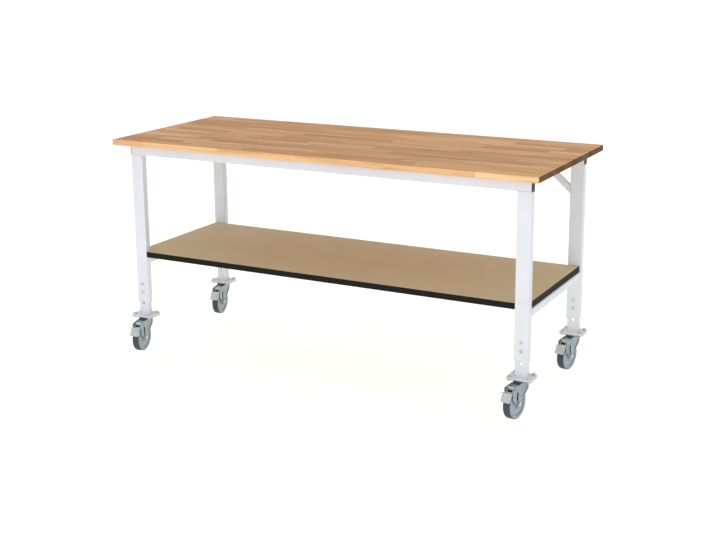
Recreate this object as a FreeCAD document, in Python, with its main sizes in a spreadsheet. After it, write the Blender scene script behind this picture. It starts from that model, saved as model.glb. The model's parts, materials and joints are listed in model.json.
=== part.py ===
import FreeCAD, Part
import math
import os
import re
import Sketcher

from FreeCAD import Placement, Rotation, Vector

# A mobile workbench: a beech worktop on a welded tube frame, a lower shelf, and four legs whose
# telescopic feet stand on braked swivel castors. Millimetres, X along the bench, Y from the front
# edge to the back, Z up, with the origin on the floor below the middle of the whole bench. The front
# castors reach out past the worktop, so the bench itself stands box_shift behind that middle.

DRIVING = {
    # worktop
    "top_length": 2000,
    "top_depth": 800,
    "top_thickness": 25,
    "top_round": 1.5,
    # welded frame
    "end_overhang": 49,
    "edge_overhang": 66,
    "tube_corner": 3,
    "rail_height": 50,
    "rail_depth": 30,
    "rail_wall": 2,
    "cap_flange": 2.5,
    "cap_plug": 18,
    "cap_fit": 0.2,
    "leg_width": 60,
    "leg_depth": 30,
    "leg_wall": 3,
    "leg_length": 685,
    "cross_width": 40,
    "cross_height": 30,
    "cross_wall": 2,
    "shelf_rise": 184,
    "shelf_rail_width": 60,
    "shelf_rail_height": 30,
    "shelf_rail_wall": 2,
    "brace_width": 25,
    "brace_depth": 25,
    "brace_wall": 2,
    "brace_run": 130,
    "brace_drop": 115,
    # lower shelf
    "shelf_inset": 8,
    "shelf_thickness": 25,
    "shelf_gap": 1,
    "band_thickness": 2,
    # wood screws
    "screw_diameter": 6,
    "screw_head": 13,
    "screw_head_height": 4,
    "screw_bite": 16,
    "screw_fit": 0.1,
    # height adjustment
    "clamp_diameter": 8,
    "clamp_head": 15,
    "clamp_head_height": 4.5,
    "clamp_low": 46,
    "clamp_pitch": 36,
    "nut_width": 13,
    "nut_height": 6.5,
    "bolt_fit": 0.2,
    "thread_fit": 0.05,
    "thread_end": 3,
    "foot_gap": 0.5,
    "foot_wall": 2.5,
    "foot_lip": 11.5,
    "foot_exposed": 60,
    "foot_travel": 55,
    "foot_end": 23,
    "slot_play": 1,
    # foot plate and castor plate
    "plate_length": 105,
    "plate_depth": 85,
    "plate_corner": 10,
    "foot_plate_thickness": 5,
    "castor_plate_thickness": 4,
    "bolt_edge": 12.5,
    "bolt_diameter": 8,
    "bolt_head_height": 5.3,
    # castor
    "trail": 52,
    "castor_turn": 10,
    "wheel_diameter": 125,
    "wheel_width": 32,
    "tread_thickness": 7,
    "tread_round": 4,
    "rim_thickness": 7,
    "web_thickness": 24,
    "hub_diameter": 36,
    "hub_length": 34,
    "hub_play": 0.5,
    "axle_diameter": 10,
    "axle_fit": 0.06,
    "axle_nut_width": 17,
    "axle_nut_height": 6,
    "fork_sheet": 3.5,
    "fork_back": 22,
    "fork_bend": 5,
    "hood_start": 34,
    "hood_reach": 44,
    "hood_drop": 8,
    "hood_height": 46,
    "cheek_back_drop": 26,
    "cheek_round": 8,
    "cheek_slot_width": 12,
    "cheek_slot_height": 38,
    "cheek_slot_rise": 13,
    "cheek_slot_ahead": 10,
    "rib_edge": 3,
    "rib_width": 8,
    "rib_rise": 3,
    "rib_round": 2.5,
    "axle_boss": 32,
    "crown_gap": 15,
    "crown_diameter": 68,
    "race_diameter": 58,
    "race_height": 7.2,
    "race_gap": 0.3,
    "kingpin_diameter": 12,
    "kingpin_fit": 0.06,
    "kingpin_head": 26,
    "kingpin_head_height": 4,
    # brake pedal, measured from the wheel's top, its front and the pedal's pin
    "pin_diameter": 6,
    "pin_fit": 0.08,
    "pin_ahead": 20,
    "pin_rise": 6.5,
    "pedal_hub": 12,
    "pedal_width": 32,
    "pedal_sheet": 3.2,
    "pedal_round": 6,
    "tongue_reach": 13,
    "tongue_width": 44,
    "tongue_length": 24,
    "dip_back": 29.5,
    "dip_drop": 8,
    "lip_reach": 10.5,
    "lip_drop": 38.5,
    "lip_width": 42,
    "lip_round": 4,
    "lip_root_back": 23,
    "shoe_near": 24,
    "shoe_far": 34,
    "shoe_near_drop": 16.4,
    "shoe_far_drop": 23.4,
    "shoe_width": 26,
    "window_gap": 2,
    "window_width": 22,
}

DERIVED = {
    "frame_length": "top_length - 2 * end_overhang",
    "frame_depth": "top_depth - 2 * edge_overhang",
    "shelf_length": "frame_length - 2 * shelf_inset",
    "top_screw_pitch": "2 * frame_length / 9",
    "shelf_screw_y": "frame_depth / 4",
    "box_shift": "(leg_y + pedal_front - top_depth / 2) / 2",
    "pedal_front": "(trail + tongue_ahead - pedal_round) * cos(castor_turn) + pedal_side + pedal_round",
    "pedal_side": "(tongue_width / 2 - pedal_round) * sin(castor_turn)",
    "leg_x": "frame_length / 2 - leg_width / 2",
    "leg_y": "frame_depth / 2 - leg_depth / 2",
    "leg_inner_x": "frame_length / 2 - leg_width",
    "leg_inner_y": "frame_depth / 2 - leg_depth",
    "rail_y": "frame_depth / 2 - rail_depth / 2",
    "rail_inner_y": "frame_depth / 2 - rail_depth",
    "leg_bottom": "castor_height + foot_plate_thickness + foot_exposed",
    "rail_bottom": "leg_bottom + leg_length",
    "top_bottom": "rail_bottom + rail_height",
    "shelf_rail_bottom": "leg_bottom + shelf_rise",
    "shelf_bottom": "shelf_rail_bottom + shelf_rail_height",
    "shelf_side": "leg_inner_x - shelf_gap",
    "shelf_back": "leg_inner_y - shelf_gap",
    "shelf_front": "frame_depth / 2",
    "screw_hole": "screw_diameter / 2 + screw_fit",
    "clamp_hole": "clamp_diameter / 2 + bolt_fit",
    "bolt_hole": "bolt_diameter / 2 + bolt_fit",
    "foot_width": "leg_width - 2 * leg_wall - 2 * foot_gap",
    "foot_depth": "leg_depth - 2 * leg_wall - 2 * foot_gap",
    "foot_mouth": "foot_width - 2 * foot_lip",
    "slot_radius": "clamp_diameter / 2 + slot_play",
    "slot_low": "foot_exposed + clamp_low - foot_travel",
    "slot_high": "foot_exposed + clamp_low + clamp_pitch + foot_travel",
    "foot_length": "slot_high + slot_radius + foot_end",
    "castor_height": "crown_top + race_gap + race_height + castor_plate_thickness",
    "bolt_span_x": "plate_length - 2 * bolt_edge",
    "bolt_span_y": "plate_depth - 2 * bolt_edge",
    "plate_bottom": "castor_height - castor_plate_thickness",
    "wheel_radius": "wheel_diameter / 2",
    "tread_inside": "wheel_radius - tread_thickness",
    "rim_inside": "tread_inside - rim_thickness",
    "crown_under": "wheel_diameter + crown_gap",
    "crown_top": "crown_under + fork_sheet",
    "fork_inside": "hub_length + 2 * hub_play",
    "fork_outside": "fork_inside + 2 * fork_sheet",
    "fork_front": "trail + hood_reach",
    "cheek_back_low": "crown_under - cheek_back_drop",
    "rib_run": "0.6 * (fork_back + trail - axle_boss / 2)",
    "rib_fall": "0.6 * (cheek_back_low - wheel_radius)",
    "axle_hole": "axle_diameter / 2 + axle_fit",
    "pin_above": "wheel_radius + pin_rise",
    "tongue_ahead": "wheel_radius + tongue_reach",
    "dip_ahead": "tongue_ahead - dip_back",
    "dip_above": "wheel_radius - dip_drop",
    "lip_ahead": "wheel_radius + lip_reach",
    "lip_above": "wheel_radius - lip_drop",
    "lip_root_ahead": "tongue_ahead - lip_root_back",
    "pedal_slope": "(pin_above - dip_above) / (dip_ahead - pin_ahead)",
    "tongue_slope": "dip_drop / dip_back",
    "flare_ahead": "tongue_ahead - tongue_length",
    "flare_above": "wheel_radius - tongue_slope * tongue_length",
    "window_length": "shoe_near - pedal_hub / 2 - 2 * window_gap",
    "lip_root_above": "wheel_radius - tongue_slope * lip_root_back",
}

CORNERS = {
    "front_left": ("-", "-"),
    "front_right": ("", "-"),
    "rear_left": ("-", ""),
    "rear_right": ("", ""),
}
SIDES = {"left": "-", "right": ""}
EDGE_MARGIN = 1
PARALLEL = 1e-6
TURNS = {
    "x": Rotation(Vector(0, 1, 0), 90),
    "y": Rotation(Vector(1, 0, 0), -90),
    "z": Rotation(),
}

doc = FreeCAD.newDocument("mobile_workbench")
sheet = doc.addObject("Spreadsheet::Sheet", "sizes")
for row, (name, value) in enumerate(DRIVING.items(), start=1):
    sheet.set("A%d" % row, name)
    sheet.set("B%d" % row, str(value))
    sheet.setAlias("B%d" % row, name)
doc.recompute()
parts = []


def bound(text):
    """An expression on the sheet's cells, from one written in plain size names."""

    def refer(match):
        word = match.group()
        if word in DERIVED:
            return "(" + bound(DERIVED[word]) + ")"
        if word in DRIVING:
            return "sizes." + word
        return word

    return re.sub(r"[a-z_]+", refer, text)


def bind(thing, **sizes):
    """Bind properties of an object to expressions in plain size names."""
    for prop, text in sizes.items():
        thing.setExpression(prop, bound(text))


def place(thing, at, turn=Rotation()):
    """Set an object's turn and bind its place."""
    thing.Placement = Placement(Vector(), turn)
    for axis, text in zip("xyz", at):
        thing.setExpression("Placement.Base." + axis, bound(text))


def new_part(name, at, turn="0"):
    """An empty body for one sub-part, whose label names its file, turned about the vertical."""
    body = doc.addObject("PartDesign::Body", name)
    body.Label = name
    across, back, up = at
    place(body, (across, back + " + box_shift", up), Rotation(Vector(0, 0, 1), 90))
    body.setExpression("Placement.Rotation.Angle", bound(turn))
    parts.append(body)
    return body


def box(body, size, at, cut=False):
    """Add or cut a block with its lowest corner at the given place."""
    kind = "Subtractive" if cut else "Additive"
    block = body.newObject("PartDesign::%sBox" % kind, "block")
    bind(block, Length=size[0], Width=size[1], Height=size[2])
    place(block, at)
    return block


def cylinder(body, radius, height, at, along="z", cut=False):
    """Add or cut a cylinder that starts at the given place."""
    kind = "Subtractive" if cut else "Additive"
    barrel = body.newObject("PartDesign::%sCylinder" % kind, "barrel")
    bind(barrel, Radius=radius, Height=height)
    place(barrel, at, TURNS[along])
    return barrel


def hexagon(body, width, height, at, along="z"):
    """Add a hexagon head or nut of the given width across its flats."""
    prism = body.newObject("PartDesign::AdditivePrism", "hexagon")
    prism.Polygon = 6
    bind(prism, Circumradius="(%s) / sqrt(3)" % width, Height=height)
    place(prism, at, TURNS[along])
    return prism


def outline(body, plane, corners):
    """A closed sketch of straight lines on one of the body's own planes."""
    support = [item for item in body.Origin.OriginFeatures if item.Role == plane]
    sketch = body.newObject("Sketcher::SketchObject", "outline")
    sketch.AttachmentSupport = [(support[0], "")]
    sketch.MapMode = "FlatFace"
    count = len(corners)
    turns = [2 * math.pi * index / count for index in range(count)]
    start = [Vector(math.cos(turn), math.sin(turn), 0) * 100 for turn in turns]
    for index in range(count):
        sketch.addGeometry(Part.LineSegment(start[index], start[(index + 1) % count]))
    for index in range(count):
        sketch.addConstraint(Sketcher.Constraint("Coincident", index, 2, (index + 1) % count, 1))
    for index, (across, up) in enumerate(corners):
        for kind, value, text in (("DistanceX", start[index].x, across), ("DistanceY", start[index].y, up)):
            number = sketch.addConstraint(Sketcher.Constraint(kind, -1, 1, index, 1, value))
            sketch.setExpression("Constraints[%d]" % number, bound(text))
    return sketch


def pad(body, sketch, width, kind="Symmetric"):
    """Thicken a sketch, to both sides unless told otherwise."""
    solid = body.newObject("PartDesign::Pad", "pad")
    solid.Profile = sketch
    solid.SideType = kind
    bind(solid, Length=width)
    return solid


def revolve(body, sketch):
    """Turn a sketch once round its horizontal axis."""
    solid = body.newObject("PartDesign::Revolution", "turned")
    solid.Profile = sketch
    solid.ReferenceAxis = (sketch, ["H_Axis"])
    solid.Angle = 360
    return solid


def round_edges(body, base, wanted, radius):
    """Round the edges of a feature that pass a test."""
    doc.recompute()
    names = ["Edge%d" % number for number, edge in enumerate(base.Shape.Edges, start=1) if wanted(edge)]
    rounding = body.newObject("PartDesign::Fillet", "rounding")
    rounding.Base = (base, names)
    bind(rounding, Radius=radius)
    return rounding


def runs_along(axis):
    """A test for straight edges parallel to an axis."""
    direction = {"x": Vector(1, 0, 0), "y": Vector(0, 1, 0), "z": Vector(0, 0, 1)}[axis]

    def test(edge):
        if not isinstance(edge.Curve, Part.Line):
            return False
        return edge.tangentAt(edge.FirstParameter).cross(direction).Length < PARALLEL

    return test


def centred(text):
    """Where a centred block of this size starts."""
    return "-(%s) / 2" % text


def tube(body, size, at, along, wall):
    """A square tube with round corners, open at both ends."""
    outer = box(body, size, at)
    round_edges(body, outer, runs_along(along), "tube_corner")
    inner_size = list(size)
    inner_at = list(at)
    for index, axis in enumerate("xyz"):
        if axis != along:
            inner_size[index] = "%s - 2 * %s" % (size[index], wall)
            inner_at[index] = "%s + %s" % (at[index], wall)
    box(body, inner_size, inner_at, cut=True)


def build_worktop():
    """The beech board, with pilot holes for its screws."""
    body = new_part("worktop", ("0", "0", "top_bottom"))
    board = box(body, ("top_length", "top_depth", "top_thickness"),
                (centred("top_length"), centred("top_depth"), "0"))
    round_edges(body, board, lambda edge: True, "top_round")
    for across, back in worktop_screw_places():
        cylinder(body, "screw_hole", "screw_bite", (across, back, "0"), cut=True)


def worktop_screw_places():
    """Where the worktop's screws pass through the two long rails."""
    columns = ["%s * top_screw_pitch" % share for share in ("-1.5", "-0.5", "0.5", "1.5")]
    return [(column, row) for column in columns for row in ("-(rail_y)", "rail_y")]


def build_rails():
    """The long rails over the legs, and the plastic plugs that close their ends."""
    length = "(frame_length - 2 * cap_flange)"
    for name, sign in (("front_rail", "-"), ("rear_rail", "")):
        body = new_part(name, ("0", sign + "(rail_y)", "rail_bottom"))
        tube(body, (length, "rail_depth", "rail_height"),
             (centred(length), centred("rail_depth"), "0"), "x", "rail_wall")
        for across, back in worktop_screw_places():
            if back.startswith("-") == (sign == "-"):
                cylinder(body, "screw_hole", "rail_height", (across, "0", "0"), cut=True)

    caps = new_part("rail_end_caps", ("0", "0", "rail_bottom"))
    plug_depth = "(rail_depth - 2 * rail_wall - 2 * cap_fit)"
    plug_height = "(rail_height - 2 * rail_wall - 2 * cap_fit)"
    flange_x = {"-": "-frame_length / 2", "": "frame_length / 2 - cap_flange"}
    plug_x = {"-": "-frame_length / 2 + cap_flange", "": "frame_length / 2 - cap_flange - cap_plug"}
    for back in ("-(rail_y)", "rail_y"):
        for side in SIDES.values():
            box(caps, ("cap_flange", "rail_depth", "rail_height"),
                (flange_x[side], back + " - rail_depth / 2", "0"))
            plug = box(caps, ("cap_plug", plug_depth, plug_height),
                       (plug_x[side], "%s - %s / 2" % (back, plug_depth), "rail_wall + cap_fit"))
    round_edges(caps, plug, runs_along("x"), "tube_corner")


def build_frame_tubes():
    """Legs, cross rails and the two rear braces."""
    for corner, (across, back) in CORNERS.items():
        leg = new_part("leg_" + corner, (across + "(leg_x)", back + "(leg_y)", "leg_bottom"))
        tube(leg, ("leg_width", "leg_depth", "leg_length"),
             (centred("leg_width"), centred("leg_depth"), "0"), "z", "leg_wall")
        for height in ("clamp_low", "clamp_low + clamp_pitch"):
            cylinder(leg, "clamp_hole", "leg_depth", ("0", centred("leg_depth"), height), "y", cut=True)

    for side, sign in SIDES.items():
        reach = "(2 * rail_inner_y)"
        top = new_part("top_cross_rail_" + side, (sign + "(leg_x)", "0", "top_bottom - cross_height"))
        tube(top, ("cross_width", reach, "cross_height"),
             (centred("cross_width"), centred(reach), "0"), "y", "cross_wall")

        reach = "(2 * leg_inner_y)"
        low = new_part("shelf_cross_rail_" + side,
                       (sign + "(frame_length / 2 - shelf_rail_width / 2)", "0", "shelf_rail_bottom"))
        tube(low, ("shelf_rail_width", reach, "shelf_rail_height"),
             (centred("shelf_rail_width"), centred(reach), "0"), "y", "shelf_rail_wall")
        for back in ("-(shelf_screw_y)", "shelf_screw_y"):
            cylinder(low, "screw_hole", "shelf_rail_height", ("0", back, "0"), cut=True)

        turn = "180" if side == "left" else "0"
        brace = new_part("rear_brace_" + side, (sign + "(leg_inner_x)", "leg_y", "rail_bottom"), turn)
        strip = pad(brace, outline(brace, "XZ_Plane", brace_outline("brace_width")), "brace_depth")
        round_edges(brace, strip, lambda edge: edge.Length > DRIVING["brace_drop"], "tube_corner")
        bore = outline(brace, "XZ_Plane", brace_outline("(brace_width - 2 * brace_wall)"))
        hollow = brace.newObject("PartDesign::Pocket", "hollow")
        hollow.Profile = bore
        hollow.SideType = "Symmetric"
        bind(hollow, Length="brace_depth - 2 * brace_wall")


def brace_outline(width):
    """A slanted strip cut square to the leg at one end and to the rail at the other."""
    slant = "sqrt(brace_run * brace_run + brace_drop * brace_drop)"
    on_leg = "%s / 2 * %s / brace_run" % (width, slant)
    on_rail = "%s / 2 * %s / brace_drop" % (width, slant)
    return [
        ("0", "-brace_drop - " + on_leg),
        ("0", "-brace_drop + " + on_leg),
        ("-brace_run + " + on_rail, "0"),
        ("-brace_run - " + on_rail, "0"),
    ]


def build_shelf():
    """The shelf board, notched round the front legs, and the bands on its edges."""
    panel = new_part("shelf_panel", ("0", "0", "shelf_bottom"))
    front = "-(shelf_front - band_thickness)"
    end = "(shelf_length / 2 - band_thickness)"
    rear = "shelf_back - band_thickness"
    board = outline(panel, "XY_Plane", [
        ("-(shelf_side)", front),
        ("shelf_side", front),
        ("shelf_side", "-(shelf_back)"),
        (end, "-(shelf_back)"),
        (end, rear),
        ("-" + end, rear),
        ("-" + end, "-(shelf_back)"),
        ("-(shelf_side)", "-(shelf_back)"),
    ])
    pad(panel, board, "shelf_thickness", "One side")
    for across, back in shelf_screw_places():
        cylinder(panel, "screw_hole", "screw_bite", (across, back, "0"), cut=True)

    bands = new_part("shelf_edge_bands", ("0", "0", "shelf_bottom"))
    box(bands, ("2 * shelf_side", "band_thickness", "shelf_thickness"),
        ("-(shelf_side)", "-(shelf_front)", "0"))
    box(bands, ("2 * " + end, "band_thickness", "shelf_thickness"), ("-" + end, rear, "0"))
    for start in ("-shelf_length / 2", end):
        box(bands, ("band_thickness", "2 * shelf_back", "shelf_thickness"), (start, "-(shelf_back)", "0"))


def shelf_screw_places():
    """Where the shelf's screws pass through its two cross rails."""
    columns = [sign + "(frame_length / 2 - shelf_rail_width / 2)" for sign in SIDES.values()]
    return [(column, row) for column in columns for row in ("-(shelf_screw_y)", "shelf_screw_y")]


def build_screws():
    """Screws driven up through the rails, and the clamp bolts of the telescopic legs."""
    groups = (
        ("worktop_screws", "rail_bottom", "rail_height", worktop_screw_places()),
        ("shelf_screws", "shelf_rail_bottom", "shelf_rail_height", shelf_screw_places()),
    )
    for name, level, grip, places in groups:
        screws = new_part(name, ("0", "0", level))
        for across, back in places:
            hexagon(screws, "screw_head", "screw_head_height", (across, back, "-screw_head_height"))
            cylinder(screws, "screw_diameter / 2", grip + " + screw_bite", (across, back, "0"))

    bolts = new_part("clamp_bolts", ("0", "0", "leg_bottom"))
    nuts = new_part("clamp_nuts", ("0", "0", "leg_bottom"))
    for across, back in CORNERS.values():
        middle = across + "(leg_x)"
        face = back + "(leg_y) - leg_depth / 2"
        rear = back + "(leg_y) + leg_depth / 2"
        for height in ("clamp_low", "clamp_low + clamp_pitch"):
            cylinder(bolts, "clamp_head / 2", "clamp_head_height",
                     (middle, face + " - clamp_head_height", height), "y")
            cylinder(bolts, "clamp_diameter / 2", "leg_depth + nut_height + thread_end",
                     (middle, face, height), "y")
            hexagon(nuts, "nut_width", "nut_height", (middle, rear, height), "y")
            cylinder(nuts, "clamp_diameter / 2 + thread_fit", "nut_height",
                     (middle, rear, height), "y", cut=True)


def bolt_places():
    """The four bolts of a castor plate, about its kingpin."""
    return [(across + "bolt_span_x / 2", back + "bolt_span_y / 2") for across, back in CORNERS.values()]


def build_foot(corner, middle):
    """The telescopic foot, open along its back, its plate, the castor's plate, bolts and kingpin."""
    across, back = middle
    foot = new_part("foot_tube_" + corner, (across, back, "castor_height + foot_plate_thickness"))
    tube(foot, ("(foot_width)", "(foot_depth)", "foot_length"),
         (centred("foot_width"), centred("foot_depth"), "0"), "z", "foot_wall")
    box(foot, ("2 * slot_radius", "foot_depth", "slot_high - slot_low"),
        ("-(slot_radius)", centred("foot_depth"), "slot_low"), cut=True)
    for height in ("slot_low", "slot_high"):
        cylinder(foot, "slot_radius", "foot_depth", ("0", centred("foot_depth"), height), "y", cut=True)

    box(foot, ("foot_mouth", "foot_wall", "foot_length"),
        (centred("foot_mouth"), "foot_depth / 2 - foot_wall", "0"), cut=True)

    plate_size = ("plate_length", "plate_depth")
    plate_at = (centred("plate_length"), centred("plate_depth"))
    plate = new_part("foot_plate_" + corner, (across, back, "castor_height"))
    slab = box(plate, plate_size + ("foot_plate_thickness",), plate_at + ("0",))
    round_edges(plate, slab, runs_along("z"), "plate_corner")
    castor = new_part("castor_plate_" + corner, (across, back, "plate_bottom"))
    slab = box(castor, plate_size + ("castor_plate_thickness",), plate_at + ("0",))
    round_edges(castor, slab, runs_along("z"), "plate_corner")
    for place_x, place_y in bolt_places():
        cylinder(plate, "bolt_hole", "foot_plate_thickness", (place_x, place_y, "0"), cut=True)
        cylinder(castor, "bolt_hole", "castor_plate_thickness", (place_x, place_y, "0"), cut=True)
    cylinder(castor, "race_diameter / 2", "race_height", ("0", "0", "-race_height"))
    cylinder(castor, "kingpin_diameter / 2 + kingpin_fit", "race_height + castor_plate_thickness",
             ("0", "0", "-race_height"), cut=True)

    bolts = new_part("castor_bolts_" + corner, (across, back, "plate_bottom"))
    grip = "(castor_plate_thickness + foot_plate_thickness)"
    for place_x, place_y in bolt_places():
        hexagon(bolts, "nut_width", "bolt_head_height", (place_x, place_y, "-bolt_head_height"))
        cylinder(bolts, "bolt_diameter / 2", grip + " + nut_height + thread_end", (place_x, place_y, "0"))
        hexagon(bolts, "nut_width", "nut_height", (place_x, place_y, grip))

    kingpin = new_part("kingpin_" + corner, (across, back, "crown_under - race_gap"))
    cylinder(kingpin, "kingpin_head / 2", "kingpin_head_height", ("0", "0", "-kingpin_head_height"))
    cylinder(kingpin, "kingpin_diameter / 2", "castor_height - crown_under + race_gap", ("0", "0", "0"))


def axle_place(middle, turn):
    """The middle of the wheel, which trails behind a kingpin when the castor is turned."""
    across, back = middle
    return ("%s + trail * sin(%s)" % (across, turn), "%s - trail * cos(%s)" % (back, turn), "wheel_radius")


def build_fork(corner, middle, turn):
    """The pressed fork with its ribs and pedal pin, and the axle bolt."""
    across, back = middle
    fork = new_part("fork_" + corner, (across, back, "0"), turn)
    side = outline(fork, "YZ_Plane", [
        ("fork_back", "crown_top"),
        ("-hood_start", "crown_top"),
        ("-fork_front", "crown_top - hood_drop"),
        ("-fork_front", "crown_top - hood_drop - hood_height"),
        ("-trail - axle_boss / 2", "wheel_radius"),
        ("-trail + axle_boss / 2", "wheel_radius"),
        ("fork_back", "cheek_back_low"),
    ])
    block = pad(fork, side, "fork_outside")
    doc.recompute()
    crown = block.Shape.BoundBox.ZMax
    low = block.Shape.BoundBox.ZMin + EDGE_MARGIN
    hood = crown - DRIVING["hood_drop"] - EDGE_MARGIN
    along = runs_along("y")
    across_fork = runs_along("x")
    bent = round_edges(fork, block, lambda edge: along(edge) and edge.BoundBox.ZMin > crown - EDGE_MARGIN,
                       "fork_bend")
    round_edges(fork, bent, lambda edge: across_fork(edge) and low < edge.BoundBox.ZMin < hood,
                "cheek_round")
    rib_front = "fork_back - rib_edge - rib_width"
    rib_back = "fork_back - rib_edge"
    strip = outline(fork, "YZ_Plane", [
        (rib_back, "crown_under - fork_bend"),
        (rib_front, "crown_under - fork_bend"),
        (rib_front, "cheek_back_low"),
        (rib_front + " - rib_run", "cheek_back_low - rib_fall"),
        (rib_back + " - rib_run", "cheek_back_low - rib_fall"),
        (rib_back, "cheek_back_low"),
    ])
    rib = pad(fork, strip, "fork_outside + 2 * rib_rise")
    doc.recompute()
    face = rib.Shape.BoundBox.XMax - EDGE_MARGIN
    round_edges(fork, rib, lambda edge: edge.BoundBox.XMin > face or edge.BoundBox.XMax < -face, "rib_round")
    left = "-(fork_outside) / 2"
    cylinder(fork, "axle_boss / 2", "fork_outside", (left, "-trail", "wheel_radius"), "x")
    box(fork, ("fork_inside", "fork_front + fork_back", "crown_under"),
        (centred("fork_inside"), "-fork_front", "0"), cut=True)
    slot_front = "-trail - cheek_slot_ahead - cheek_slot_width / 2"
    box(fork, ("fork_outside", "cheek_slot_width", "cheek_slot_height"),
        (left, slot_front, "wheel_radius + cheek_slot_rise"), cut=True)
    cylinder(fork, "crown_diameter / 2", "fork_sheet", ("0", "0", "crown_under"))
    cylinder(fork, "kingpin_diameter / 2 + kingpin_fit", "fork_sheet", ("0", "0", "crown_under"), cut=True)
    cylinder(fork, "axle_hole", "fork_outside", (left, "-trail", "wheel_radius"), "x", cut=True)
    cylinder(fork, "pin_diameter / 2", "fork_outside",
             (left, "-trail - pin_ahead", "wheel_radius + pin_above"), "x")

    axle = new_part("axle_" + corner, axle_place(middle, turn), turn)
    cylinder(axle, "axle_diameter / 2", "fork_outside", (left, "0", "0"), "x")
    hexagon(axle, "axle_nut_width", "axle_nut_height", (left + " - axle_nut_height", "0", "0"), "x")
    hexagon(axle, "axle_nut_width", "axle_nut_height", ("(fork_outside) / 2", "0", "0"), "x")


def build_wheel(corner, middle, turn):
    """The moulded wheel centre and the tyre on its rim."""
    at = axle_place(middle, turn)
    centre = new_part("wheel_centre_" + corner, at, turn)
    half = [
        ("hub_length / 2", "axle_hole"),
        ("hub_length / 2", "hub_diameter / 2"),
        ("web_thickness / 2", "hub_diameter / 2"),
        ("web_thickness / 2", "rim_inside"),
        ("wheel_width / 2", "rim_inside"),
        ("wheel_width / 2", "tread_inside"),
    ]
    revolve(centre, outline(centre, "XY_Plane", half + [("-" + u, v) for u, v in reversed(half)]))

    tyre = new_part("tyre_" + corner, at, turn)
    ring = revolve(tyre, outline(tyre, "XY_Plane", [
        ("-wheel_width / 2", "tread_inside"),
        ("wheel_width / 2", "tread_inside"),
        ("wheel_width / 2", "wheel_radius"),
        ("-wheel_width / 2", "wheel_radius"),
    ]))
    doc.recompute()
    outside = ring.Shape.BoundBox.ZMax - EDGE_MARGIN
    round_edges(tyre, ring, lambda edge: edge.BoundBox.ZMax > outside and edge.BoundBox.XLength < EDGE_MARGIN,
                "tread_round")


def build_pedal(corner, middle, turn):
    """The brake pedal: two arms from its pin to a scooped tongue, a lip to lift it by, and a shoe."""
    pedal = new_part("brake_pedal_" + corner, axle_place(middle, turn), turn)
    strip = outline(pedal, "YZ_Plane", [
        ("-pin_ahead", "pin_above - pedal_sheet / 2"),
        ("-pin_ahead", "pin_above + pedal_sheet / 2"),
        ("-dip_ahead", "dip_above + pedal_sheet / 2"),
        ("-tongue_ahead", "wheel_radius + pedal_sheet / 2"),
        ("-tongue_ahead", "wheel_radius - pedal_sheet / 2"),
        ("-dip_ahead", "dip_above - pedal_sheet / 2"),
    ])
    pad(pedal, strip, "pedal_width")
    flare = outline(pedal, "YZ_Plane", [
        ("-(flare_ahead)", "flare_above - pedal_sheet / 2"),
        ("-(flare_ahead)", "flare_above + pedal_sheet / 2"),
        ("-tongue_ahead", "wheel_radius + pedal_sheet / 2"),
        ("-tongue_ahead", "wheel_radius - pedal_sheet / 2"),
    ])
    tongue = pad(pedal, flare, "tongue_width")
    doc.recompute()
    tip = tongue.Shape.BoundBox.YMin + EDGE_MARGIN
    upright = runs_along("z")
    round_edges(pedal, tongue, lambda edge: upright(edge) and edge.BoundBox.YMax < tip, "pedal_round")
    lip = outline(pedal, "YZ_Plane", [
        ("-lip_root_ahead + pedal_sheet / 2", "lip_root_above"),
        ("-lip_root_ahead - pedal_sheet / 2", "lip_root_above"),
        ("-lip_ahead - pedal_sheet / 2", "lip_above"),
        ("-lip_ahead + pedal_sheet / 2", "lip_above"),
    ])
    hook = pad(pedal, lip, "lip_width")
    doc.recompute()
    foot = hook.Shape.BoundBox.ZMin + EDGE_MARGIN
    along = runs_along("y")
    round_edges(pedal, hook, lambda edge: along(edge) and edge.BoundBox.ZMax < foot, "lip_round")
    shoe = outline(pedal, "YZ_Plane", [
        ("-pin_ahead - shoe_near", "pin_above - pedal_slope * shoe_near"),
        ("-pin_ahead - shoe_near", "pin_above - shoe_near_drop"),
        ("-pin_ahead - shoe_far", "pin_above - shoe_far_drop"),
        ("-pin_ahead - shoe_far", "dip_above + tongue_slope * (pin_ahead + shoe_far - dip_ahead)"),
    ])
    pad(pedal, shoe, "shoe_width")
    window = (centred("window_width"), "window_gap - pin_ahead - shoe_near", "pin_above - 2 * pedal_hub")
    box(pedal, ("window_width", "window_length", "2 * pedal_hub"), window, cut=True)
    start = (centred("pedal_width"), "-pin_ahead", "pin_above")
    cylinder(pedal, "pedal_hub / 2", "pedal_width", start, "x")
    cylinder(pedal, "pin_diameter / 2 + pin_fit", "pedal_width", start, "x", cut=True)


def write_parts():
    """Stop if anything failed, then write one file for each sub-part."""
    doc.recompute()
    broken = [item.Label for item in doc.Objects if {"Invalid", "Error"} & set(item.State)]
    broken += [body.Label for body in parts if body.Shape.isNull() or not body.Shape.isValid()]
    if broken:
        raise RuntimeError("failed: " + ", ".join(broken))
    os.makedirs("parts", exist_ok=True)
    for body in parts:
        body.Shape.exportStep("parts/%s.step" % body.Label)
    print(len(parts), "sub-parts,", sum(len(body.Shape.Solids) for body in parts), "solids")


build_worktop()
build_rails()
build_frame_tubes()
build_shelf()
build_screws()
for corner, (across, back) in CORNERS.items():
    middle = (across + "(leg_x)", back + "(leg_y)")
    turn = "castor_turn" if across == "-" else "-castor_turn"
    build_foot(corner, middle)
    build_fork(corner, middle, turn)
    build_wheel(corner, middle, turn)
    build_pedal(corner, middle, turn)
write_parts()
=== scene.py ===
import json
import math

import bmesh
import bpy
from mathutils import Matrix, Vector


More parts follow.
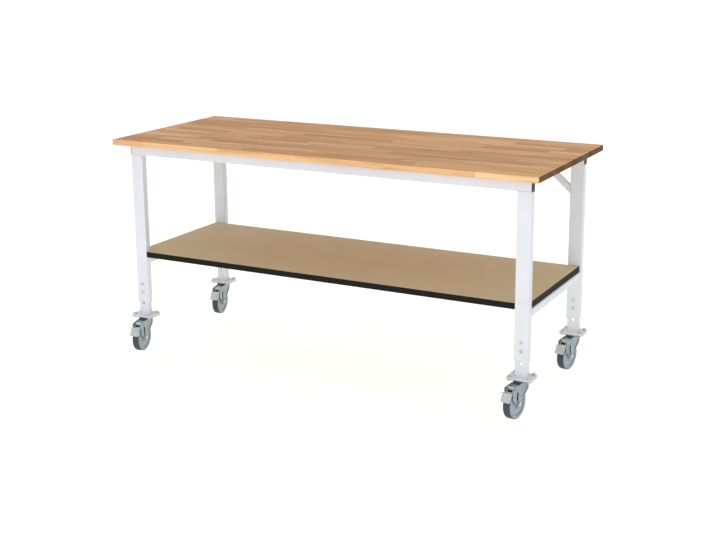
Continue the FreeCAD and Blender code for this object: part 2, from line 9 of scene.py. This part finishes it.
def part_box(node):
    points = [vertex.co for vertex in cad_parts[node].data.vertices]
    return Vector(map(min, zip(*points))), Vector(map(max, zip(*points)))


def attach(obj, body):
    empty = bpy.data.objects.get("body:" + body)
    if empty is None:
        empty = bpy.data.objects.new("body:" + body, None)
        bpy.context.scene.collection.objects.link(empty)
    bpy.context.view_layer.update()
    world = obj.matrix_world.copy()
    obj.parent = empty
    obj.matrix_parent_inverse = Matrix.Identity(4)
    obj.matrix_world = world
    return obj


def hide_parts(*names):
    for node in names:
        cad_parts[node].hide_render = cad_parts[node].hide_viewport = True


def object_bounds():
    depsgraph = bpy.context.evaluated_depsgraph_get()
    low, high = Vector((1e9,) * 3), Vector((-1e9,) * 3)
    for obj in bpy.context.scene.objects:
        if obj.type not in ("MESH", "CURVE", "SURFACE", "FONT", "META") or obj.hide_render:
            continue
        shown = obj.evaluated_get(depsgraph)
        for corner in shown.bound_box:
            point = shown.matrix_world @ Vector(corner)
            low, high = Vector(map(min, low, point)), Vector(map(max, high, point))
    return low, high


# Looks of a mobile workbench: beech top, powder-coated tube frame, lower shelf and braked castors.
# Metres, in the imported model's own frame: X along the bench, Y from front to back, Z up.

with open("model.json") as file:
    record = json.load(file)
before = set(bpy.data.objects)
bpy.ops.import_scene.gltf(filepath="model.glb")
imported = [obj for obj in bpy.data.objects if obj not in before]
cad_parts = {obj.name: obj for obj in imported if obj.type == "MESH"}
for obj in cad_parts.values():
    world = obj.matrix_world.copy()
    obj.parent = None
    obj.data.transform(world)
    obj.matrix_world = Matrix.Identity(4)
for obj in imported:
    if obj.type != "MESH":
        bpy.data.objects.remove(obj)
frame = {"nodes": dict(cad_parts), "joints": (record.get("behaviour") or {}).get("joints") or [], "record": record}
nodes = frame["nodes"]
cad_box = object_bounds()

CORNERS = ("front_left", "front_right", "rear_left", "rear_right")
MM = 0.001
FULL_TURN = 2 * math.pi

# camera, fitted to the corners of the top, legs, shelf and wheels in a picture of 716 by 540
IMAGE_WIDTH = 716
SENSOR = 36.0
FOCAL_PIXELS = 1235.3
AXIS_ABOVE_MIDDLE = 50.0
EYE = Vector((2.5230, -4.6644, 1.8695))
AZIMUTH = 28.060
ELEVATION = 13.103
ROLL = -0.417

# floor, surroundings, and lamps by name, place, size and power; the floor lies lower than the castors by the
# way that the feet go down, and half a millimetre more
WHITE = (1.0, 1.0, 1.0, 1.0)
FLOOR_REACH = 40.0
FLOOR_DROP = 0.0555
FLOOR_TONE = (0.92, 0.92, 0.92, 1.0)
FLOOR_GLOW = 0.40
WORLD_STRENGTH = 0.78
LAMP_TARGET = (0.0, 0.0, 0.5)
LAMPS = (
    ("front_light", (0.6, -5.2, 1.0), 4.0, 56.0),
    ("right_light", (5.0, -1.0, 3.0), 3.0, 4.0),
)

# wooden top: strips of glued blocks. The seeds choose where blocks begin and which tone each one has, the
# spreads set rows and grain apart, and the limit tells the edges and ends from the flat faces.
STRIP_WIDTH = 0.0445
BLOCK_LENGTH = 0.34
SHORTEST_BLOCK = 0.7 * BLOCK_LENGTH
LONGEST_BLOCK = 1.35 * BLOCK_LENGTH
GLUE_LINE = 0.0005
ROW_SEED = 3.0
BLOCK_SEED = 6.0
START_SPREAD = 37.0
GRAIN_SPREAD = (9.0, 9.0, 9.0)
FACE_LIMIT = 0.8

# ramps of tones, each with the places of its codes
BEECH_FLAT = ((0.0, "C9915B"), (0.35, "DCA46D"), (0.7, "E4AE77"), (1.0, "EDBC8B"))
# paler tones for the long edges: painted light, as if they caught more light than the top
BEECH_LIT_EDGE = ((0.0, "CF9B66"), (0.4, "E6B57F"), (0.7, "F0C18C"), (1.0, "F8D09C"))
# dark end grain, darkened further by painted shade on the two ends
BEECH_END_GRAIN_AND_SHADE = ((0.2, "503720"), (0.55, "6A4B2F"), (0.9, "846344"))
SHELF_FIBRES = ((0.30, "C2B18E"), (0.52, "D3C3A0"), (0.75, "DFD1B0"))

# clamp bolts, with a head by radius and height and a socket by width and depth
CLAMP_HEIGHTS = (0.046, 0.082)
CLAMP_HEAD = (0.0075, 0.0045)
CLAMP_SOCKET = (0.0050, 0.0024)

# wood screws, with heads and sockets given the same way, seats as far above the solid's lowest point as its
# head is high, and a distance that tells one screw from the next
SCREW_SEAT = 0.004
SCREW_HEAD = (0.0065, 0.0022)
SCREW_SOCKET = (0.0040, 0.0014)
SCREW_RADIUS = 0.003
SCREW_APART = 0.04

# hexagon bolts and nuts, as wide and high as in the solids; the offsets in X and Y place a castor's bolts
# about the middle of their plate
BOLT_RADIUS = 0.004
NUT_WIDTH = 0.013
NUT_HEIGHT = 0.0065
BOLT_HEAD_HEIGHT = 0.0053
BOLT_OFFSETS = (0.040, 0.030)
NUT_BORE = BOLT_RADIUS + 0.05 * MM
THREAD_END = 0.003
THREAD_PITCH = 0.00125
AXLE_RADIUS = 0.005
AXLE_NUT = (0.017, 0.006)
AXLE_HALF = 0.021

# forms of the small turned pieces, mostly as shares of a radius or height
RING_POINTS = 24
SHARP_ANGLE = math.radians(32)
FLAT_SHARE = 0.96
CHAMFER_ANGLE = math.radians(30)
SINK_SHARE = 0.08
RIM_SHARE = 0.25
DOME_SHARES = (0.25, 0.5, 0.75, 1.0)
DOME_ANGLE = math.pi / 2.6
ROOT_SHARE = 0.88
TIP_SHARE = 0.86

# weld beads: their form, how far they keep from a tube's corners, and how far those on the braces and on the
# back lips of the feet run
BEAD_RADIUS = 2.2 * MM
BEAD_RIPPLE = 3.2 * MM
BEAD_SIDES = 8
BEAD_LEAST_STEPS = 6
BEAD_DIP = 0.84
BEAD_TIP = 0.35
TUBE_INSET = 3 * MM
RAIL_INSET = 4 * MM
BRACE_INSET = 2 * MM
BRACE_START = 1 * MM
BRACE_ON_LEG = 32 * MM
BRACE_ON_RAIL = 36 * MM
LIP_BEAD = 0.0105


def tone(code):
    """A colour from its usual six-digit code, as the shaders take it."""
    values = [int(code[i:i + 2], 16) / 255 for i in (0, 2, 4)]
    linear = [v / 12.92 if v <= 0.04045 else ((v + 0.055) / 1.055) ** 2.4 for v in values]
    return (*linear, 1.0)


class Graph:
    """A material with a short way to add and join its nodes; a text stands for a colour's code."""

    def __init__(self, name, **surface):
        self.material = bpy.data.materials.new(name)
        self.material.use_nodes = True
        self.tree = self.material.node_tree
        self.shader = self.tree.nodes["Principled BSDF"]
        self.surface(**surface)

    def put(self, socket, value):
        if isinstance(value, bpy.types.NodeSocket):
            self.tree.links.new(value, socket)
        elif isinstance(value, str):
            socket.default_value = tone(value)
        else:
            socket.default_value = value

    def add(self, kind, inputs, **settings):
        node = self.tree.nodes.new(kind)
        for key, value in settings.items():
            setattr(node, key, value)
        for key, value in inputs.items():
            self.put(node.inputs[key], value)
        return node

    def position(self):
        return self.add("ShaderNodeTexCoord", {}).outputs["Object"]

    def normal(self):
        return self.add("ShaderNodeTexCoord", {}).outputs["Normal"]

    def split(self, vector):
        return self.add("ShaderNodeSeparateXYZ", {0: vector}).outputs[:3]

    def join(self, *parts):
        return self.add("ShaderNodeCombineXYZ", dict(enumerate(parts))).outputs[0]

    def math(self, operation, first, second=0.0, third=0.0):
        inputs = {0: first, 1: second, 2: third}
        return self.add("ShaderNodeMath", inputs, operation=operation).outputs[0]

    def stretch(self, vector, scale):
        return self.add("ShaderNodeVectorMath", {0: vector, 1: scale}, operation="MULTIPLY").outputs[0]

    def shifted(self, vector, offset):
        return self.add("ShaderNodeVectorMath", {0: vector, 1: offset}, operation="ADD").outputs[0]

    def white(self, vector):
        node = self.add("ShaderNodeTexWhiteNoise", {"Vector": vector}, noise_dimensions="3D")
        return node.outputs["Value"], node.outputs["Color"]

    def noise(self, vector, scale, detail=3.0, roughness=0.5):
        inputs = {"Vector": vector, "Scale": scale, "Detail": detail, "Roughness": roughness}
        return self.add("ShaderNodeTexNoise", inputs).outputs["Fac"]

    def streaky(self, vector, scale, **settings):
        """Noise with its own scale along each axis."""
        return self.noise(self.stretch(vector, scale), 1.0, **settings)

    def cells(self, vector, scale):
        node = self.add("ShaderNodeTexVoronoi", {"Vector": vector, "Scale": scale})
        return node.outputs["Color"]

    def between(self, value, low, high, start=0.0, end=1.0):
        """The value's way from low to high, laid on the span from start to end."""
        inputs = {0: value, 1: low, 2: high, 3: start, 4: end}
        return self.add("ShaderNodeMapRange", inputs, clamp=True).outputs[0]

    def ramp(self, value, stops):
        node = self.add("ShaderNodeValToRGB", {0: value})
        places = node.color_ramp.elements
        while len(places) < len(stops):
            places.new(0.5)
        for place, (at, code) in zip(places, stops):
            place.position = at
            place.color = tone(code)
        return node.outputs["Color"]

    def mix(self, factor, first, second):
        inputs = {0: factor, 6: first, 7: second}
        return self.add("ShaderNodeMix", inputs, data_type="RGBA").outputs[2]

    def bump(self, height, distance, strength):
        inputs = {"Height": height, "Distance": distance, "Strength": strength}
        normal = self.add("ShaderNodeBump", inputs).outputs["Normal"]
        self.put(self.shader.inputs["Normal"], normal)

    def surface(self, **inputs):
        """Set the shader's sockets by name, and give the material."""
        for key, value in inputs.items():
            self.put(self.shader.inputs[key.replace("_", " ")], value)
        return self.material


def beech_strips():
    """Strips of beech blocks, with painted light on the long edges and dark end grain with painted shade on the
    two ends.
    """
    g = Graph("beech_strips", Specular_IOR_Level=0.12)
    position = g.position()
    x, y = g.split(position)[:2]
    across = g.math("DIVIDE", y, STRIP_WIDTH)
    row = g.math("FLOOR", across)
    start, row_choice = g.white(g.join(row, ROW_SEED, 0.0))
    length = g.between(g.split(row_choice)[0], 0.0, 1.0, SHORTEST_BLOCK, LONGEST_BLOCK)
    along = g.math("MULTIPLY_ADD", start, START_SPREAD, g.math("DIVIDE", x, length))
    column = g.math("FLOOR", along)
    block_tone, block_choice = g.white(g.join(row, column, BLOCK_SEED))
    normal_x, normal_y = g.split(g.normal())[:2]
    # the long edges take the paler ramp, which is painted light
    on_edge = g.math("GREATER_THAN", g.math("ABSOLUTE", normal_y), FACE_LIMIT)
    body = g.mix(on_edge, g.ramp(block_tone, BEECH_FLAT), g.ramp(block_tone, BEECH_LIT_EDGE))

    own = g.shifted(position, g.stretch(block_choice, GRAIN_SPREAD))
    streaks = g.streaky(own, (2.2, 48.0, 48.0), detail=5.0, roughness=0.6)
    body = g.mix(g.between(streaks, 0.42, 0.66, 0.0, 0.60), body, "AC7B4C")
    flecks = g.streaky(own, (260.0, 2300.0, 2300.0), detail=1.0)
    body = g.mix(g.between(flecks, 0.60, 0.70, 0.0, 0.40), body, "8E6239")

    side_gap = g.math("ABSOLUTE", g.math("SUBTRACT", g.math("FRACT", across), 0.5))
    end_gap = g.math("ABSOLUTE", g.math("SUBTRACT", g.math("FRACT", along), 0.5))
    side_line = g.math("GREATER_THAN", side_gap, 0.5 - GLUE_LINE / STRIP_WIDTH)
    end_line = g.math("GREATER_THAN", end_gap, 0.5 - GLUE_LINE / BLOCK_LENGTH)
    lines = g.math("MAXIMUM", side_line, end_line)
    body = g.mix(g.math("MULTIPLY", lines, 0.35), body, "7C5433")

    rings = g.streaky(own, (4.0, 90.0, 260.0), detail=4.0)
    end_tone = g.math("MULTIPLY_ADD", block_tone, 0.35, g.math("MULTIPLY", rings, 0.75))
    # the two ends take the end-grain ramp: dark grain with painted shade
    on_end = g.math("GREATER_THAN", g.math("ABSOLUTE", normal_x), FACE_LIMIT)
    body = g.mix(on_end, body, g.ramp(end_tone, BEECH_END_GRAIN_AND_SHADE))
    relief = g.math("SUBTRACT", streaks, g.math("MULTIPLY", lines, 0.6))
    g.bump(relief, distance=0.00012, strength=0.5)
    rough = g.math("MULTIPLY_ADD", on_end, 0.3, g.between(streaks, 0.2, 0.8, 0.40, 0.56))
    return g.surface(Base_Color=body, Roughness=rough)


def shelf_board():
    """A plain brown board, with the fine fibres of pressed wood."""
    g = Graph("shelf_board", Specular_IOR_Level=0.3)
    position = g.position()
    fibres = g.streaky(position, (240.0, 420.0, 420.0), detail=4.0, roughness=0.65)
    clouds = g.noise(position, 5.0)
    body = g.ramp(fibres, SHELF_FIBRES)
    body = g.mix(g.between(clouds, 0.35, 0.7, 0.0, 0.22), body, "BDAB85")
    specks = g.noise(position, 620.0, detail=1.0)
    body = g.mix(g.between(specks, 0.66, 0.74, 0.0, 0.4), body, "8C7754")
    g.bump(fibres, distance=0.00006, strength=0.5)
    return g.surface(Base_Color=body, Roughness=g.between(fibres, 0.3, 0.7, 0.62, 0.78))


def powder_coat(name, pale, shade):
    """Baked powder paint: a fine orange-peel skin with faint clouds and scuffs."""
    g = Graph(name, Specular_IOR_Level=0.42)
    position = g.position()
    peel = g.noise(position, 850.0, detail=2.0)
    clouds = g.noise(position, 7.0)
    scuffs = g.streaky(position, (60.0, 60.0, 16.0), detail=6.0, roughness=0.7)
    body = g.mix(g.between(clouds, 0.35, 0.7), pale, shade)
    body = g.mix(g.between(scuffs, 0.66, 0.80, 0.0, 0.16), body, "A9A8A4")
    g.bump(peel, distance=0.00005, strength=0.45)
    return g.surface(Base_Color=body, Roughness=g.between(scuffs, 0.3, 0.75, 0.36, 0.50))


def plated_steel(name, pale, shade, rough):
    """Zinc-plated steel: faint crystal patches and clouds, rough within the two given values."""
    g = Graph(name, Metallic=1.0)
    position = g.position()
    patch = g.cells(position, 210.0)
    clouds = g.noise(position, 45.0, detail=4.0, roughness=0.6)
    body = g.mix(g.between(clouds, 0.3, 0.72), pale, shade)
    body = g.mix(g.math("MULTIPLY", g.split(patch)[0], 0.14), body, "8C979B")
    brushed = g.streaky(position, (900.0, 900.0, 60.0), detail=2.0)
    g.bump(brushed, distance=0.00003, strength=0.35)
    matt = g.between(clouds, 0.3, 0.72, *rough)
    return g.surface(Base_Color=body, Roughness=g.math("MULTIPLY_ADD", g.split(patch)[1], 0.05, matt))


def moulded_plastic(name, pale, shade, rough, gloss):
    """Moulded plastic with a fine grain, rough within the two given values."""
    g = Graph(name, Specular_IOR_Level=gloss)
    position = g.position()
    grain = g.noise(position, 1400.0, detail=2.0)
    clouds = g.noise(position, 60.0)
    body = g.mix(g.between(clouds, 0.35, 0.7), pale, shade)
    g.bump(grain, distance=0.00004, strength=0.4)
    return g.surface(Base_Color=body, Roughness=g.between(grain, 0.3, 0.7, *rough))


def tyre_rubber():
    """Grey rubber with painted shade on the tread and a painted lit grey on its sides, with dust in its pores."""
    g = Graph("tyre_rubber", Specular_IOR_Level=0.3)
    position = g.position()
    pores = g.noise(position, 900.0)
    dust = g.noise(position, 55.0, detail=5.0, roughness=0.65)
    # painted light and shade: faces looking along the axle get a pale grey, the tread a dark one
    side = g.between(g.math("ABSOLUTE", g.split(g.normal())[0]), 0.60, 0.95)
    body = g.mix(side, "3A4146", "8D98A0")
    body = g.mix(g.between(pores, 0.35, 0.85, 0.0, 0.30), body, "626B71")
    body = g.mix(g.between(dust, 0.5, 0.8, 0.0, 0.25), body, "7D8284")
    g.bump(pores, distance=0.00008, strength=0.5)
    return g.surface(Base_Color=body, Roughness=g.between(dust, 0.3, 0.8, 0.58, 0.82))


# a look for each of the record's slots
looks = {
    "worktop_wood": beech_strips(),
    "shelf_wood": shelf_board(),
    "frame_paint": powder_coat("frame_paint", "E0E4EA", "DADEE4"),
    "castor_zinc": plated_steel("castor_zinc", "A9B4B8", "909DA2", rough=(0.34, 0.50)),
    "fastener": plated_steel("fastener_zinc", "DADDDF", "C2C7CA", rough=(0.30, 0.44)),
    "wheel_plastic": moulded_plastic("wheel_plastic", "A3AFB6", "96A2AA", rough=(0.42, 0.56), gloss=0.4),
    "edge_band": moulded_plastic("edge_band", "1E1C16", "181711", rough=(0.50, 0.62), gloss=0.1),
    "end_cap": moulded_plastic("end_cap", "2E2E32", "27272B", rough=(0.42, 0.55), gloss=0.25),
    "tyre_rubber": tyre_rubber(),
}
for entry in frame["record"]["subparts"]:
    slots = nodes[entry["node"]].data.materials
    slots.clear()
    slots.append(looks[entry["material_slot"]])

# the pedals get a paler copy of the zinc, a painted highlight that makes them brighter than the forks
painted_highlight_zinc = plated_steel("pedal_zinc_painted_highlight", "DCE2E3", "C8D0D2", rough=(0.42, 0.56))
for corner in CORNERS:
    nodes["brake_pedal_" + corner].data.materials[0] = painted_highlight_zinc


def new_piece(name, mesh, body, slot, *replaced):
    """Put a mesh made here on its body, with the finish of one of the record's slots."""
    data = bpy.data.meshes.new(name)
    bmesh.ops.recalc_face_normals(mesh, faces=mesh.faces)
    mesh.to_mesh(data)
    mesh.free()
    data.shade_smooth()
    data.set_sharp_from_angle(angle=SHARP_ANGLE)
    data.materials.append(looks[slot])
    piece = bpy.data.objects.new(name, data)
    bpy.context.scene.collection.objects.link(piece)
    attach(piece, body)
    if replaced:
        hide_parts(*replaced)


def skin(mesh, rings, closed=False):
    """Join rings of equal length into one surface, capped at both ends or closed on itself."""
    rows = [[mesh.verts.new(point) for point in points] for points in rings]
    count = len(rows[0])
    pairs = list(zip(rows, rows[1:]))
    if closed:
        pairs.append((rows[-1], rows[0]))
    for low, high in pairs:
        for i in range(count):
            j = (i + 1) % count
            mesh.faces.new((low[i], low[j], high[j], high[i]))
    if not closed:
        mesh.faces.new(list(reversed(rows[0])))
        mesh.faces.new(rows[-1])


def ring(place, radius, height, sides=0):
    """A ring of points about a placed axis: round, or with as many flats as sides, a radius away."""
    points = []
    for i in range(RING_POINTS):
        angle = FULL_TURN * i / RING_POINTS
        reach = radius
        if sides:
            step = FULL_TURN / sides
            reach = radius / math.cos((angle + step / 2) % step - step / 2)
        points.append(place @ Vector((reach * math.cos(angle), reach * math.sin(angle), height)))
    return points


def chamfered_hexagon(place, width, low, high):
    """The rings of a hexagon whose corners are turned down by a cone at both ends."""
    half = width / 2
    flat = half * FLAT_SHARE
    corner = half / math.cos(math.pi / 6)
    drop = (corner - flat) * math.tan(CHAMFER_ANGLE)
    rings = [ring(place, flat, low)]
    for level, sign in ((low, 1), (high, -1)):
        points = ring(place, half, level, sides=6)
        for i, point in enumerate(points):
            reach = (place.inverted() @ point).to_2d().length
            share = (reach - flat) / (corner - flat)
            points[i] = point + (place.to_3x3() @ Vector((0, 0, sign * drop * share)))
        rings.append(points)
    rings.append(ring(place, flat, high))
    return rings


def hex_head(mesh, place, width, height):
    """A solid hexagon head that stands on its place."""
    skin(mesh, chamfered_hexagon(place, width, 0.0, height))


def hex_nut(mesh, place, width, height, bore):
    """A hexagon nut with a countersunk bore, standing on its place."""
    rings = chamfered_hexagon(place, width, 0.0, height)
    sink = SINK_SHARE * height
    rings.append(ring(place, bore + sink, height))
    rings.append(ring(place, bore, height - sink))
    rings.append(ring(place, bore, sink))
    rings.append(ring(place, bore + sink, 0.0))
    skin(mesh, rings, closed=True)


def socket_head(mesh, place, radius, height, width, depth):
    """A low domed head with a hexagon socket in it."""
    rings = [ring(place, radius, 0.0), ring(place, radius, RIM_SHARE * height)]
    for share in DOME_SHARES:
        angle = share * DOME_ANGLE
        rise = RIM_SHARE + (1 - RIM_SHARE) * math.sin(angle) / math.sin(DOME_ANGLE)
        rings.append(ring(place, radius * math.cos(angle), height * rise))
    rings.append(ring(place, width / 2, height, sides=6))
    rings.append(ring(place, width / 2, height - depth, sides=6))
    skin(mesh, rings)


def shank(mesh, place, radius, low, high, thread_from=None):
    """A bolt's shank, with a thread's crests and roots where it shows and a chamfered tip."""
    rings = [ring(place, radius, low)]
    if thread_from is not None:
        rings.append(ring(place, radius, thread_from))
        level = thread_from + THREAD_PITCH / 2
        while level < high - THREAD_PITCH:
            rings.append(ring(place, radius * ROOT_SHARE, level))
            rings.append(ring(place, radius, level + THREAD_PITCH / 2))
            level += THREAD_PITCH
    rings.append(ring(place, radius * TIP_SHARE, high))
    skin(mesh, rings)


def facing(at, direction):
    """A place whose own Z points in the given direction."""
    return Matrix.Translation(at) @ Vector(direction).to_track_quat("Z", "Y").to_matrix().to_4x4()


def middle(node):
    """The middle of a node's box."""
    low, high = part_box(node)
    return (low + high) / 2


def add_clamp_bolts():
    """The bolts and nuts that clamp the telescopic legs."""
    bolts = bmesh.new()
    nuts = bmesh.new()
    for corner in CORNERS:
        low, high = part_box("leg_" + corner)
        for height in CLAMP_HEIGHTS:
            x, z = (low.x + high.x) / 2, low.z + height
            socket_head(bolts, facing((x, low.y, z), (0, -1, 0)), *CLAMP_HEAD, *CLAMP_SOCKET)
            behind = facing((x, low.y, z), (0, 1, 0))
            reach = high.y - low.y
            shank(bolts, behind, BOLT_RADIUS, 0.0, reach + NUT_HEIGHT + THREAD_END, reach + NUT_HEIGHT)
            hex_nut(nuts, facing((x, high.y, z), (0, 1, 0)), NUT_WIDTH, NUT_HEIGHT, NUT_BORE)
    new_piece("clamp_bolt_set", bolts, "bench", "fastener", "clamp_bolts")
    new_piece("clamp_nut_set", nuts, "bench", "fastener", "clamp_nuts")


def spots(node):
    """The boxes of the upright solids of a node that stand apart."""
    found = []
    for vertex in nodes[node].data.vertices:
        point = vertex.co
        for low, high in found:
            if (point - low).to_2d().length < SCREW_APART:
                low[:] = [min(a, b) for a, b in zip(low, point)]
                high[:] = [max(a, b) for a, b in zip(high, point)]
                break
        else:
            found.append((point.copy(), point.copy()))
    return found


def add_screws(node):
    """Wood screws with low domed heads, driven up from below."""
    mesh = bmesh.new()
    for low, high in spots(node):
        x, y = (low.x + high.x) / 2, (low.y + high.y) / 2
        seat = low.z + SCREW_SEAT
        socket_head(mesh, facing((x, y, seat), (0, 0, -1)), *SCREW_HEAD, *SCREW_SOCKET)
        shank(mesh, facing((x, y, seat), (0, 0, 1)), SCREW_RADIUS, 0.0, high.z - seat)
    new_piece(node[:-1] + "_set", mesh, "bench", "fastener", node)


def add_castor_bolts(corner):
    """Four bolts with nuts through the foot plate and the castor plate."""
    mesh = bmesh.new()
    centre = middle("foot_plate_" + corner)
    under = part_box("castor_bolts_" + corner)[0].z + BOLT_HEAD_HEIGHT
    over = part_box("foot_plate_" + corner)[1].z
    for sx in (-1, 1):
        for sy in (-1, 1):
            x, y = centre.x + sx * BOLT_OFFSETS[0], centre.y + sy * BOLT_OFFSETS[1]
            hex_head(mesh, facing((x, y, under), (0, 0, -1)), NUT_WIDTH, BOLT_HEAD_HEIGHT)
            up = facing((x, y, under), (0, 0, 1))
            reach = over - under + NUT_HEIGHT
            shank(mesh, up, BOLT_RADIUS, 0.0, reach + THREAD_END, reach)
            hex_nut(mesh, facing((x, y, over), (0, 0, 1)), NUT_WIDTH, NUT_HEIGHT, NUT_BORE)
    new_piece("castor_bolt_set_" + corner, mesh, "foot_" + corner, "fastener", "castor_bolts_" + corner)


def add_axle(corner):
    """The wheel's bolt, with a hexagon outside each cheek of the fork."""
    mesh = bmesh.new()
    joint = next(j for j in frame["joints"] if j["name"] == "roll_" + corner)
    centre, axis = Vector(joint["pos_m"]), Vector(joint["axis"])
    shank(mesh, facing(centre - axis * AXLE_HALF, axis), AXLE_RADIUS, 0.0, 2 * AXLE_HALF)
    for sign in (-1, 1):
        out = axis * sign
        hex_head(mesh, facing(centre + out * AXLE_HALF, out), *AXLE_NUT)
    new_piece("axle_bolt_" + corner, mesh, "swivel_" + corner, "fastener", "axle_" + corner)


def bead(mesh, start, end, out):
    """A rippled weld bead from start to end, lying in the corner that faces out."""
    start, end, out = Vector(start), Vector(end), Vector(out).normalized()
    run = end - start
    side = run.normalized().cross(out)
    steps = max(BEAD_LEAST_STEPS, int(run.length / BEAD_RIPPLE) * 2)
    angles = [FULL_TURN * k / BEAD_SIDES for k in range(BEAD_SIDES)]
    rings = []
    for i in range(steps + 1):
        swell = BEAD_RADIUS * (1.0 if i % 2 else BEAD_DIP)
        if i in (0, steps):
            swell = BEAD_RADIUS * BEAD_TIP
        centre = start + run * (i / steps)
        rings.append([centre + (out * math.sin(a) + side * math.cos(a)) * swell for a in angles])
    skin(mesh, rings)


def weld_cross_rail(mesh, node, sign):
    """Beads on the inner side and the underside of a cross rail, at both of its ends."""
    low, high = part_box(node)
    inner = low.x if sign > 0 else high.x
    for y, turn in ((low.y, 1), (high.y, -1)):
        bead(mesh, (inner, y, low.z + TUBE_INSET), (inner, y, high.z - TUBE_INSET), (-sign, turn, 0))
        bead(mesh, (low.x + RAIL_INSET, y, low.z), (high.x - RAIL_INSET, y, low.z), (0, turn, -1))


def weld_brace(mesh, node, sign):
    """Beads where a brace meets its leg and the rear rail."""
    low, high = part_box(node)
    leg = high.x if sign > 0 else low.x
    far = low.x if sign > 0 else high.x
    for y, turn in ((low.y, -1), (high.y, 1)):
        bead(mesh, (leg, y, low.z + BRACE_START), (leg, y, low.z + BRACE_ON_LEG), (-sign, turn, 0))
        first, last = far + sign * BRACE_START, far + sign * BRACE_ON_RAIL
        bead(mesh, (first, y, high.z), (last, y, high.z), (0, turn, -1))
    front, back = low.y + BRACE_INSET, high.y - BRACE_INSET
    bead(mesh, (leg, front, low.z), (leg, back, low.z), (-sign, 0, -1))
    bead(mesh, (far, front, high.z), (far, back, high.z), (-sign, 0, -1))


def add_frame_welds():
    """Beads where the frame's tubes meet."""
    mesh = bmesh.new()
    for side, sign in (("left", -1), ("right", 1)):
        weld_cross_rail(mesh, "shelf_cross_rail_" + side, sign)
        weld_cross_rail(mesh, "top_cross_rail_" + side, sign)
        weld_brace(mesh, "rear_brace_" + side, sign)
    for corner in CORNERS:
        low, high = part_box("leg_" + corner)
        sign = 1 if high.x > 0 else -1
        inner = low.x if sign > 0 else high.x
        front, back = low.y + TUBE_INSET, high.y - TUBE_INSET
        bead(mesh, (inner, front, high.z), (inner, back, high.z), (-sign, 0, -1))
    new_piece("frame_welds", mesh, "bench", "frame_paint")


def add_foot_welds(corner):
    """Beads round a foot tube on its plate, with a gap at the tube's open back."""
    mesh = bmesh.new()
    low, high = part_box("foot_tube_" + corner)
    bead(mesh, (low.x + TUBE_INSET, low.y, low.z), (high.x - TUBE_INSET, low.y, low.z), (0, -1, 1))
    for x, inner in ((low.x, low.x + LIP_BEAD), (high.x, high.x - LIP_BEAD)):
        bead(mesh, (x, high.y, low.z), (inner, high.y, low.z), (0, 1, 1))
    for x, turn in ((low.x, -1), (high.x, 1)):
        bead(mesh, (x, low.y + TUBE_INSET, low.z), (x, high.y - TUBE_INSET, low.z), (turn, 0, 1))
    new_piece("foot_welds_" + corner, mesh, "foot_" + corner, "frame_paint")


def add_floor():
    """A pale floor as low as the feet reach, so that a lowered castor isn't hidden in it."""
    sheet = bpy.data.meshes.new("floor")
    signs = ((-1, -1), (1, -1), (1, 1), (-1, 1))
    corners = [(sx * FLOOR_REACH, sy * FLOOR_REACH, 0) for sx, sy in signs]
    sheet.from_pydata(corners, [], [(0, 1, 2, 3)])
    g = Graph("pale_floor", Roughness=0.9, Specular_IOR_Level=0.1, Emission_Strength=FLOOR_GLOW)
    sheet.materials.append(g.surface(Base_Color=FLOOR_TONE, Emission_Color=WHITE))
    floor = bpy.data.objects.new("floor", sheet)
    floor.location.z = cad_box[0].z - FLOOR_DROP
    bpy.context.scene.collection.objects.link(floor)


def add_world():
    """Even white light from all around."""
    world = bpy.data.worlds.new("studio")
    world.use_nodes = True
    background = world.node_tree.nodes["Background"]
    background.inputs["Color"].default_value = WHITE
    background.inputs["Strength"].default_value = WORLD_STRENGTH
    bpy.context.scene.world = world


def add_lamp(name, at, size, power):
    """A large square lamp that looks at the middle of the bench."""
    data = bpy.data.lights.new(name, "AREA")
    data.shape = "SQUARE"
    data.size = size
    data.energy = power
    lamp = bpy.data.objects.new(name, data)
    lamp.matrix_world = facing(at, Vector(at) - Vector(LAMP_TARGET))
    bpy.context.scene.collection.objects.link(lamp)


def add_camera():
    """The camera at the fitted place and angles."""
    azimuth, elevation, roll = (math.radians(angle) for angle in (AZIMUTH, ELEVATION, ROLL))
    ahead = Vector((
        -math.sin(azimuth) * math.cos(elevation),
        math.cos(azimuth) * math.cos(elevation),
        -math.sin(elevation),
    ))
    level = Vector((math.cos(azimuth), math.sin(azimuth), 0.0))
    upright = level.cross(ahead)
    right = level * math.cos(roll) + upright * math.sin(roll)
    up = upright * math.cos(roll) - level * math.sin(roll)
    lens = bpy.data.cameras.new("camera")
    lens.sensor_fit = "HORIZONTAL"
    lens.sensor_width = SENSOR
    lens.lens = FOCAL_PIXELS / IMAGE_WIDTH * SENSOR
    lens.shift_y = -AXIS_ABOVE_MIDDLE / IMAGE_WIDTH
    camera = bpy.data.objects.new("camera", lens)
    camera.matrix_world = Matrix((
        (right.x, up.x, -ahead.x, EYE.x),
        (right.y, up.y, -ahead.y, EYE.y),
        (right.z, up.z, -ahead.z, EYE.z),
        (0, 0, 0, 1),
    ))
    bpy.context.scene.collection.objects.link(camera)
    bpy.context.scene.camera = camera


add_clamp_bolts()
add_screws("worktop_screws")
add_screws("shelf_screws")
add_frame_welds()
for corner in CORNERS:
    add_foot_welds(corner)
for corner in CORNERS:
    add_castor_bolts(corner)
    add_axle(corner)

add_floor()
add_world()
for lamp in LAMPS:
    add_lamp(*lamp)
add_camera()
bpy.context.scene.view_settings.view_transform = "Standard"

bpy.context.view_layer.update()
